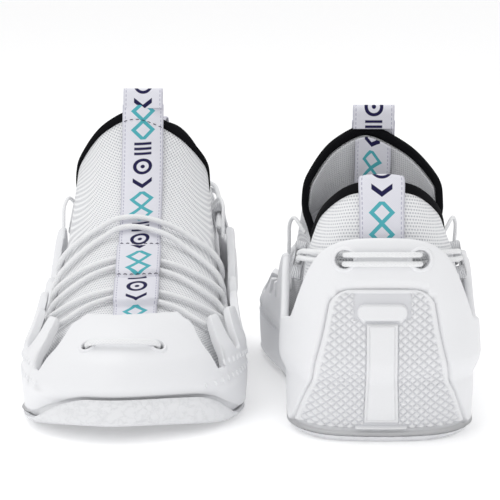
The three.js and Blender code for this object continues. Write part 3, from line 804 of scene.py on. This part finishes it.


# --------------------------------------------------------------
# Bootie knit: one stretch knit sock, white, 1.5 mm thick, with rows of small open dots about
# 1.4 mm apart. The vamp and tongue are one length; the quarter goes round the heel and joins it
# at the ankle notches.
# --------------------------------------------------------------
BINDING = 3.6
NOTCH = 0.243


def rise_at(u, t):
    return np.linalg.norm(form(u, t) - form(u, t - 0.02), axis=-1) / 0.02


def below(u, drop):
    """Height parameter of a line a number of millimetres under the collar edge."""
    return 1 - drop / rise_at(u, 1)


def cloth_uv(points):
    """Millimetres across (from the middle column) and along (from the first row) a grid."""
    steps = np.linalg.norm(np.diff(points, axis=1), axis=-1)
    over = np.concatenate([np.zeros((len(points), 1)), np.cumsum(steps, 1)], 1)
    steps = np.linalg.norm(np.diff(points, axis=0), axis=-1)
    up = np.concatenate([np.zeros((1, points.shape[1])), np.cumsum(steps, 0)], 0)
    middle = points.shape[1] // 2
    return stack(over - over[:, middle:middle + 1], up)


def build_knit(name, shoe, start, stop, columns):
    u = np.linspace(start, stop, columns)[None, :]
    t = lerp(0.03, below(u, BINDING - 1.6), np.linspace(0, 1, 90)[:, None])
    outer, inner = surface(u, t, -KNIT_SLACK), surface(u, t, -KNIT_SLACK - KNIT)
    x, y = outline(u, WALL_INSET + 9)
    sole = stack(x, y, form(u, 0)[..., 2])
    outer = np.concatenate([sole, outer])
    inner = np.concatenate([sole + [0, 0, KNIT], inner])
    return shell(name, shoe, outer, inner, cloth_uv(outer))


def across_fold(piece, shoe):
    """Bakes the piece's placement into its mesh."""
    side = 1 if shoe == "right" else -1
    -0.012 * side
    -0.024 * side
    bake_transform(piece)


def knit_finish():
    finish = Finish("knit", Roughness=0.85, Sheen_Weight=0.15)
    x, y = finish.millimetres()
    row = (y / 1.5).sum("FLOOR")
    over = ((x / 1.35 + (row % 2) * 0.5) % 1 - 0.5) * 1.35
    up = ((y / 1.5) % 1 - 0.5) * 1.5
    dot = (over * over + up * up).sum("SQRT").step(0.52, 0.28)
    rib = abs((x / 0.675) % 1 - 0.5) * 2
    fuzz = finish.noise(1800, 2)
    cloth = finish.mix(fuzz, (0.88, 0.885, 0.90, 1), (0.93, 0.935, 0.945, 1))
    finish.paint(dot * 0.85, cloth, (0.52, 0.53, 0.57, 1))
    finish.relief((1 - dot) * 0.75 + rib * 0.15 + fuzz * 0.1, 0.0005, 0.8)
    return finish


knit = knit_finish()
for shoe in SHOES:
    quarter = build_knit("knit_quarter", shoe, -NOTCH, NOTCH, 150)
    dress(quarter, knit, f"{shoe}_shoe", "knit", f"{shoe}_bootie")
    vamp = build_knit("knit_vamp", shoe, NOTCH, 1 - NOTCH, 190)
    dress(vamp, knit, None, "knit", f"{shoe}_bootie", f"{shoe}_tongue")
    across_fold(vamp, shoe)


# --------------------------------------------------------------
# Linings: soft foam pads covered in grey mesh, 2.4 mm thick and a little fuller in the middle,
# sewn inside the heel collar and inside the tongue.
# --------------------------------------------------------------
LINING = 2.4


def plump(piece, cap=0.35 * MM):
    """Lets the pad's cover settle round its filling, and keeps the settled shape."""
    start = np.array([v.co for v in piece.data.vertices])
    cloth = piece.modifiers.new("settle", "CLOTH")
    cloth.settings.quality = 5
    cloth.settings.use_pressure = True
    cloth.settings.uniform_pressure_force = 4
    cloth.settings.effector_weights.gravity = 0
    for step in range(1, 13):
        scene.frame_set(step)
    apply_modifiers(piece)
    scene.frame_set(1)
    moved = np.array([v.co for v in piece.data.vertices]) - start
    length = np.linalg.norm(moved, axis=1)[:, None]
    settled = start + moved * np.minimum(1, cap / np.maximum(length, 1e-9))
    piece.data.vertices.foreach_set("co", settled.ravel())
    piece.data.update()
    return piece


def build_pad(name, shoe, span, low, off, columns):
    u = np.linspace(*span, columns)[None, :]
    share = np.linspace(0, 1, 34)[:, None]
    t = lerp(low, below(u, BINDING + 0.9), share)
    ends = np.sin(np.pi * np.linspace(0.004, 0.996, columns))[None, :] ** 0.25
    full = np.sin(np.pi * share) ** 0.35 * ends
    middle = off - LINING / 2
    outer = surface(u, t, middle + LINING / 2 * full)
    inner = surface(u, t, middle - (LINING / 2 - 0.3) * full)
    return plump(shell(name, shoe, outer, inner, cloth_uv(outer)))


def lining_finish():
    finish = Finish("lining", Roughness=0.92, Sheen_Weight=0.25)
    x, y = finish.millimetres()
    over, up = ((v / 1.1) % 1 - 0.5 for v in (x, y))
    hole = (over.sum("POWER", 2) + up.sum("POWER", 2)).sum("SQRT").step(0.42, 0.2)
    fuzz = finish.noise(1500, 2)
    cloth = finish.mix(fuzz, (0.64, 0.645, 0.67, 1), (0.72, 0.725, 0.74, 1))
    finish.paint(hole * 0.7, cloth, (0.42, 0.43, 0.45, 1))
    finish.relief((1 - hole) * 0.8 + fuzz * 0.2, 0.0004, 0.7)
    return finish


lining = lining_finish()
for shoe in SHOES:
    pad = build_pad("collar_pad", shoe, (-0.2, 0.2), 0.5, -KNIT - 1.5, 110)
    dress(pad, lining, f"{shoe}_shoe", "lining", f"{shoe}_collar_lining")
    pad = build_pad("tongue_pad", shoe, (0.28, 0.72), 0.845, -KNIT - 1.0, 110)
    dress(pad, lining, None, "lining", f"{shoe}_tongue_lining")
    across_fold(pad, shoe)


# --------------------------------------------------------------
# Bindings: black stretch tape, 4.7 mm wide on the show side, folded over the edge of the tongue
# and round the collar behind it.
# --------------------------------------------------------------
def swept(name, shoe, sections):
    """Closed body along a row of closed sections, with millimetres round and along it."""
    sections = np.concatenate([sections, sections[:, :1]], 1)
    rows, columns = sections.shape[:2]
    around = np.linalg.norm(np.diff(sections, axis=1), axis=-1).mean(0)
    around = np.append(0, np.cumsum(around))
    uv = stack(around[None, :], run_length(sections.mean(1))[:, None])
    faces = grid_faces(rows, columns)
    faces += [tuple(range(columns - 1))[::-1], tuple((rows - 1) * columns + i for i in range(columns - 1))]
    return weld(make(name, shoe, sections, faces, uv), 0.005 * MM)


def build_binding(name, shoe, span):
    fold = [(4.7, -0.4), (4.55, 0.2), (3.0, 0.55), (1.2, 0.55), (0.3, 0.2), (0.0, -0.5), (0.0, -1.5),
            (0.3, -2.2), (1.2, -2.6), (3.0, -2.75), (4.55, -2.6), (4.7, -2.1)]
    u = np.linspace(*span, 180)[:, None]
    drop, off = (np.array(v)[None, :] for v in zip(*fold))
    rise = rise_at(u, 1)
    return swept(name, shoe, surface(u, 1 - drop / rise, off))


def binding_finish():
    finish = Finish("binding", Roughness=0.9, Specular_IOR_Level=0.08)
    x, y = finish.millimetres()
    rib = abs((x * 0.6 + y / 0.8) % 1 - 0.5) * 2
    fuzz = finish.noise(2000, 2)
    finish.paint(rib * 0.6 + fuzz * 0.4, (0.002, 0.002, 0.003, 1), (0.010, 0.010, 0.012, 1))
    finish.relief(rib * 0.8 + fuzz * 0.2, 0.0003, 0.6)
    return finish


binding = binding_finish()
for shoe in SHOES:
    dress(build_binding("collar_tape", shoe, (-0.2415, 0.2415)), binding, f"{shoe}_shoe", "binding",
          f"{shoe}_collar_binding")
    tape = build_binding("tongue_tape", shoe, (0.2445, 0.7555))
    dress(tape, binding, None, "binding", f"{shoe}_tongue_binding")
    across_fold(tape, shoe)


# --------------------------------------------------------------
# Woven ribbon: lilac-grey tape 19.2 mm wide and 0.8 mm thick with a woven pattern of teal diamond
# chains and navy chevrons, rings and bars. One length runs up the vamp and tongue, over two of the
# lace pairs, and loops over as the pull tab; another runs up the heel, over the collar and inside.
# --------------------------------------------------------------
RIBBON_HALF = 9.6
RIBBON = 0.8
RIBBON_COLUMNS = np.linspace(-RIBBON_HALF, RIBBON_HALF, 17)[None, :]


def tape_uv(points, first):
    """Millimetres across the tape, and along it from a set start."""
    return stack(RIBBON_COLUMNS, first + run_length(points[:, 8])[:, None])


def vamp_lift(t):
    over_laces = np.maximum(bump(t, 0.577, 0.031, 0.012), bump(t, 0.663, 0.031, 0.012))
    vamp = GAP + 0.2 + (2 * LACE_R + GAP) * over_laces
    return lerp(vamp, 0.95, ramp(t, 0.79, 0.83))


def tongue_plane(along, out):
    """(y, z) from distances along the tongue past its top edge, and out from it."""
    top, low = (np.array(front_line(t)) for t in (1.0, 0.93))
    d = (top - low) / np.linalg.norm(top - low)
    return top + d * along + np.array([d[1], -d[0]]) * out


def build_vamp_ribbon(shoe):
    level = tongue_plane(1.6, 0)[1]
    top = bisect(lambda t: surface(u_front(RIBBON_COLUMNS, t), t, 0.95)[..., 2], level, 0.95, 1.2)
    t = lerp(0.475, top, np.linspace(0, 1, 220)[:, None])
    x = RIBBON_COLUMNS * np.ones_like(t)
    u = u_front(x, t)
    lift = vamp_lift(t)
    outer = surface(u, t, lift + RIBBON)
    return shell("vamp_ribbon", shoe, outer, surface(u, t, lift), tape_uv(outer, 0))


def build_pull_tab(shoe):
    path = np.array([tongue_plane(*p) for p in [(-0.2, 1.0), (2, 1.2), (5, 1.2), (9, 0.6), (10, -0.6),
                                                (9, -1.9), (5, -2.8), (2, -3.2), (-0.5, -3.6)]])
    line = curve_through(np.c_[np.zeros(len(path)), path], 90)
    turn = unit(np.gradient(line, axis=0))
    out = np.c_[np.zeros(len(line)), turn[:, 2], -turn[:, 1]][:, None] * RIBBON / 2
    middle = line[:, None] + stack(RIBBON_COLUMNS, 0, 0)
    return shell("pull_tab", shoe, middle + out, middle - out, tape_uv(middle, 118))


def build_tail(shoe):
    t = np.linspace(0.885, 0.985, 40)[:, None]
    x = RIBBON_COLUMNS * np.ones_like(t)
    t = np.broadcast_to(t, x.shape)
    u = u_front(x, t)
    off = -KNIT - LINING - 2
    inner = surface(u, t, off - RIBBON)
    return shell("ribbon_tail", shoe, surface(u, t, off), inner, tape_uv(inner, 96))


def build_heel_ribbon(shoe):
    scale = 95
    keys = [(0.728, 0.8), (0.8, 0.8), (0.88, 0.8), (0.95, 1.35), (0.99, 1.4), (1.017, 0.9), (1.028, -1),
            (1.015, -3.2), (0.985, -5.2), (0.935, -7), (0.9, -7.1)]
    path = curve_through([(t * scale, off, 0) for t, off in keys], 150)
    turn = unit(np.gradient(path, axis=0))
    sides = []
    for k in (RIBBON / 2, -RIBBON / 2):
        t = ((path[:, 0] - turn[:, 1] * k) / scale)[:, None] + 0 * RIBBON_COLUMNS
        u = u_heel(RIBBON_COLUMNS + 0 * t, np.minimum(t, 1))
        sides.append(surface(u, t, (path[:, 1] + turn[:, 0] * k)[:, None]))
    return shell("heel_ribbon", shoe, sides[0], sides[1], tape_uv(sides[0], 3))


def ribbon_finish():
    finish = Finish("ribbon", Roughness=0.65, Specular_IOR_Level=0.2)
    x, y = finish.millimetres()
    pitch = 9.6
    cell = (y / pitch).sum("FLOOR") % 5
    up = ((y / pitch) % 1 - 0.5) * pitch
    reach = (x * x + up * up).sum("SQRT")

    def near(value, width):
        return abs(value).step(width + 0.12, width - 0.12)

    def only(first, last=None):
        middle = (first + (last or first)) / 2
        return near(cell - middle, (last or first) - middle + 0.5)

    diamonds = near(abs(x) * 1.05 + abs(up) - 4.7, 1.25) * only(0, 1)
    chevrons = near(abs(x) * 0.8 - up - 1.6, 1.25) * near(x, 4.4) * only(2)
    rings = near(reach - 3.6, 0.8).sum("MAXIMUM", near(reach, 1.0)) * only(3)
    bars_woven = near((up / 2.6 + 0.5) % 1 - 0.5, 0.27) * near(x, 4.0) * near(up, 3.9) * only(4)
    navy = chevrons.sum("MAXIMUM", rings).sum("MAXIMUM", bars_woven)
    weft = abs((y / 0.5) % 1 - 0.5) * 2
    warp = abs((x / 0.42) % 1 - 0.5) * 2
    twill = abs((x / 0.9 + y / 0.9) % 1 - 0.5) * 2
    ground = finish.mix(twill * 0.5 + warp * 0.2, (0.74, 0.74, 0.81, 1), (0.87, 0.87, 0.92, 1))
    pattern = finish.mix(diamonds, ground, (0.085, 0.44, 0.50, 1))
    pattern = finish.mix(navy, pattern, (0.010, 0.008, 0.060, 1))
    edge = abs(x).step(8.9, 9.2)
    stitch = near(abs(x) - 8.3, 0.2) * near((y / 2.2) % 1 - 0.5, 0.3)
    pattern = finish.mix(stitch * 0.5, pattern, (0.12, 0.10, 0.25, 1))
    finish.paint(edge * 0.5, pattern, (0.60, 0.60, 0.70, 1))
    finish.relief(weft * 0.5 + warp * 0.3 + diamonds * 0.2 + navy * 0.2, 0.00025, 0.7)
    return finish


ribbon = ribbon_finish()
for shoe in SHOES:
    tape = build_vamp_ribbon(shoe)
    dress(tape, ribbon, None, "ribbon", f"{shoe}_vamp_ribbon", f"{shoe}_tongue_ribbon")
    across_fold(tape, shoe)
    tab = build_pull_tab(shoe)
    dress(tab, ribbon, None, "ribbon", f"{shoe}_tongue_pull_tab")
    side = 1 if shoe == "right" else -1
    sewn, free = (tongue_plane(along, -0.7) * MM for along in (0.6, 6.0))
    sewn[0] * side
    free[0] * side
    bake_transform(tab)
    tail = build_tail(shoe)
    dress(tail, ribbon, None, "ribbon", f"{shoe}_tongue_ribbon_tail")
    across_fold(tail, shoe)
    dress(build_heel_ribbon(shoe), ribbon, f"{shoe}_shoe", "ribbon", f"{shoe}_heel_ribbon")


# --------------------------------------------------------------
# Stitching: rows of dark thread, 0.4 mm thick, that hold the ribbons down: one row near the
# tongue's top edge and one at each of three places down the vamp.
# --------------------------------------------------------------
def frames_on(line):
    """Two unit vectors square to a line of points at each of its points, without twist."""
    turn = unit(np.gradient(line, axis=0))
    first = np.zeros_like(line)
    first[0] = frame_along(turn[0])[1]
    for i in range(1, len(line)):
        side = first[i - 1] - turn[i] * np.dot(first[i - 1], turn[i])
        first[i] = unit(side)
    return first, np.cross(turn, first)


def tube(name, shoe, line, radius, sides=16):
    """Round cord along a line of points, with rounded ends."""
    first, second = frames_on(line)
    angle = (np.arange(sides) / sides * 2 * math.pi)[None, :, None]
    along = run_length(line)
    to_end = np.minimum(along, along[-1] - along)
    round_off = np.sqrt(np.clip(1 - (1 - np.clip(to_end / radius, 0.02, 1)) ** 2, 0.02, 1))[:, None, None]
    ring = radius * (np.cos(angle) * first[:, None] + np.sin(angle) * second[:, None]) * round_off
    return swept(name, shoe, line[:, None] + ring)


def join(pieces, name):
    bm = bmesh.new()
    for piece in pieces:
        bm.from_mesh(piece.data)
    joined = pieces[0]
    bm.to_mesh(joined.data)
    bm.free()
    for piece in pieces[1:]:
        bpy.data.objects.remove(piece)
    joined.name = name
    return joined


def stitch(shoe, start, end):
    """One thread lying on the cloth between two points, its ends sunk into it."""
    middle = (start[0] + end[0]) / 2 + (start[1] + end[1]) / 2 * 0.28
    line = curve_through([start[0] - start[1] * 0.35, middle, end[0] - end[1] * 0.35], 7)
    return tube("stitch", shoe, line, 0.2, 6)


def on_ribbon(x, t):
    """Point and outward normal on the top of the vamp ribbon."""
    u = u_front(x, t)
    lift = float(vamp_lift(t)) + RIBBON
    point, above = surface(u, t, lift), surface(u, t, lift + 1)
    return point, above - point


def build_vamp_stitches(shoe, levels):
    pieces = []
    for t in levels:
        for x in np.arange(-8.1, 8.2, 2.7):
            pieces.append(stitch(shoe, on_ribbon(x - 1.0, t), on_ribbon(x + 1.0, t)))
    return join(pieces, f"{shoe}_vamp_stitches")


def thread_finish():
    finish = Finish("stitch_thread", Roughness=0.6)
    twist = finish.noise(2500, 2)
    finish.paint(twist, (0.012, 0.010, 0.030, 1), (0.05, 0.045, 0.09, 1))
    finish.relief(twist, 0.0001, 0.5)
    return finish


thread = thread_finish()
for shoe in SHOES:
    dress(build_vamp_stitches(shoe, (0.49, 0.626, 0.71)), thread, f"{shoe}_shoe", "ribbon")
    dress(build_vamp_stitches(shoe, (0.975,)), thread, f"{shoe}_tongue", "ribbon")


# --------------------------------------------------------------
# Laces: white braided elastic cord, 2.6 mm across. Three pairs cross the vamp from one side of the
# cage to the other, one runs through the toe holes, and one goes round the heel from keeper to
# keeper. Thin cords, 1.8 mm across, tie the ankle notches to the wings.
# --------------------------------------------------------------
LACE_LIFT = LACE_R + 0.45
RIBBON_CLEAR = RIBBON + 2 * GAP + 0.2
CORD_R = 0.9


def beside(side, y, t, off):
    return surface(u_beside(side, y, t), t, off)


def strand(end, cross_t, over):
    y, t_side = end

    def half(side):
        u_end = u_beside(side, y, t_side)
        places = []
        for s in (0, 0.14, 0.3, 0.46, 0.62, 0.76, 0.88):
            u, t = lerp(u_end, 0.5, s), lerp(t_side, cross_t, math.sin(s * math.pi / 2))
            x = abs(form(u, t)[0])
            places.append(surface(u, t, LACE_LIFT + (RIBBON_CLEAR * ramp(x, 18, 12.5) if over else 0)))
        return places
    middle = surface(0.5, cross_t, LACE_LIFT + (RIBBON_CLEAR if over else 0))
    return [*half(1), middle, *half(-1)[::-1]]


def lace_route(sides, cross, over):
    (y0, t0), (y1, t1) = sides
    off = LACE_LIFT + 0.2
    return [beside(-1, y0, t0 - 0.06, off), *strand(sides[0], cross[0], over)[::-1],
            beside(1, y0 + 0.5, t0 - 0.04, off), beside(1, (y0 + y1) / 2, min(t0, t1) - 0.07, off),
            beside(1, y1 - 0.5, t1 - 0.04, off), *strand(sides[1], cross[1], over),
            beside(-1, y1, t1 - 0.06, off)]


def toe_route():
    T = TOE_EYELET_T
    (left, _), (right, _) = TOE_EYELETS
    route = [(left - 13, 0.4, 1.5), (left - 4.5, T + 0.006, 1.3), (left - 0.4, T, 2.6), (left, T, 6),
             (left + 0.4, T, 8.9), (left + 4, T + 0.003, 10.5), ((left + right) / 2, T + 0.007, 10.8),
             (right - 4, T + 0.003, 10.5), (right - 0.4, T, 8.9), (right, T, 6), (right + 0.4, T, 2.6),
             (right + 4.5, T + 0.006, 1.3), (right + 13, 0.4, 1.5)]
    return [surface(u_front(x, t), t, off) for x, t, off in route]


def heel_route():
    T, X, apart = HEEL_EYELET_T, HEEL_EYELET_X, 0.0146

    def half(side, level):
        ankle = [(-57, 0.755, 3), (-75, 0.745, 3), (-92, 0.72, 2.4), (-107, 0.69, 2.5)]
        eyelet = [(5, 0.006, 2.2), (0.6, 0, 3.6), (0, 0, 6), (-0.4, 0, 9.2), (-4, 0, 11.2)]
        return [beside(side, y, t + level, off) for y, t, off in ankle] + [
            surface(u_heel(side * (X + past), T), T + level + over, off) for past, over, off in eyelet]
    return [*half(-1, apart), surface(0, T + apart, 11.2), *half(1, apart)[::-1], beside(1, -52.5, 0.757, 3),
            *half(1, -apart), surface(0, T - apart, 11.2), *half(-1, -apart)[::-1]]


def notch_route(side):
    start = surface(0.262 if side > 0 else 0.738, 0.93, GAP + CORD_R + 0.6)
    u = u_beside(side, -20, 0.74)
    end = surface(u, 0.74, float(stand_off(u, 0.74)) - GAP - CORD_R - 0.3)

    def lift(share, out, up):
        return lerp(start, end, share) + np.array([side * out, 0, up])
    return [start, lift(0.12, 1.5, 5), lift(0.35, 2.5, 11), lift(0.62, 2.5, 11), lift(0.85, 1, 5), end]


def lace_finish():
    finish = Finish("lace", Roughness=0.7, Sheen_Weight=0.2)
    x, y = finish.millimetres()
    one = abs((x / 1.36 + y / 1.5) % 1 - 0.5) * 2
    other = abs((x / 1.36 - y / 1.5) % 1 - 0.5) * 2
    braid = one.sum("MAXIMUM", other)
    fuzz = finish.noise(2600, 2)
    finish.paint(braid * 0.8 + fuzz * 0.2, (0.80, 0.81, 0.83, 1), (0.94, 0.945, 0.95, 1))
    finish.relief(braid * 0.8 + fuzz * 0.2, 0.0003, 0.8)
    return finish


lace = lace_finish()
LACES = {
    "lace_top": lace_route([(0, 0.55), (20, 0.5)], (0.757, 0.738), True),
    "lace_middle": lace_route([(30, 0.5), (45, 0.46)], (0.676, 0.655), False),
    "lace_lower": lace_route([(55, 0.44), (70, 0.4)], (0.59, 0.568), False),
    "lace_toe": toe_route(),
    "lace_heel": heel_route(),
    "notch_cord_outer": notch_route(1),
    "notch_cord_inner": notch_route(-1)}
for name, route in LACES.items():
    line = curve_through(route, 12 * len(route))
    radius = CORD_R if name.startswith("notch") else LACE_R - 0.1 * (name == "lace_heel")
    for shoe in SHOES:
        dress(tube(name, shoe, line, radius), lace, f"{shoe}_shoe", "lace", f"{shoe}_{name}")


# --------------------------------------------------------------
# Lace keepers: loops of ribbed white elastic webbing, 17 mm tall and 6 mm wide, sewn to the knit
# beside each ankle, that the heel lace turns through.
# --------------------------------------------------------------
def build_keeper(name, shoe, side):
    along = unit(beside(side, -60, 0.75, 3) - beside(side, -72, 0.75, 3))
    out = unit(beside(side, -66, 0.75, 6) - beside(side, -66, 0.75, 0))
    up = unit(-side * np.cross(along, out))
    centre = beside(side, -66, 0.75, 3.1)

    def ring(points):
        return curve_through([centre + out * a + up * b for a, b in points], 96, closed=True)
    outer = ring([(-2.4, -8.8), (0, -9), (2.4, -8.8), (2.6, -4), (2.6, 4), (2.4, 7.8), (0, 8), (-2.4, 7.8),
                  (-2.6, 4), (-2.6, -4)])
    inner = ring([(-1.5, -3.5), (0, -3.6), (1.5, -3.5), (1.6, -1.5), (1.6, 2), (1.5, 4.1), (0, 4.2),
                  (-1.5, 4.1), (-1.6, 2), (-1.6, -1.5)])
    depth = np.cross(out, up)
    rows = [outer - depth * 2.9, outer + 0 * depth, outer + depth * 2.9, inner + depth * 3, inner - depth * 3,
            outer - depth * 2.9]
    points = np.array(rows).reshape(-1, 3)
    uv = stack(np.array([-2.9, 0, 2.9, 3, -3, -2.9])[:, None], run_length(outer)[None, :])
    return weld(make(name, shoe, points, grid_faces(6, 96, closed=True), uv))


def webbing_finish():
    finish = Finish("webbing", Roughness=0.8, Sheen_Weight=0.2)
    x, y = finish.millimetres()
    rib = abs((y / 1.1) % 1 - 0.5) * 2
    finish.paint(rib, (0.72, 0.73, 0.76, 1), (0.92, 0.925, 0.94, 1))
    finish.relief(rib, 0.0005, 0.8)
    return finish


webbing = webbing_finish()
for shoe in SHOES:
    for side, place in ((1, "outer"), (-1, "inner")):
        name = f"lace_keeper_{place}"
        dress(build_keeper(name, shoe, side), webbing, f"{shoe}_shoe", "webbing", f"{shoe}_{name}")
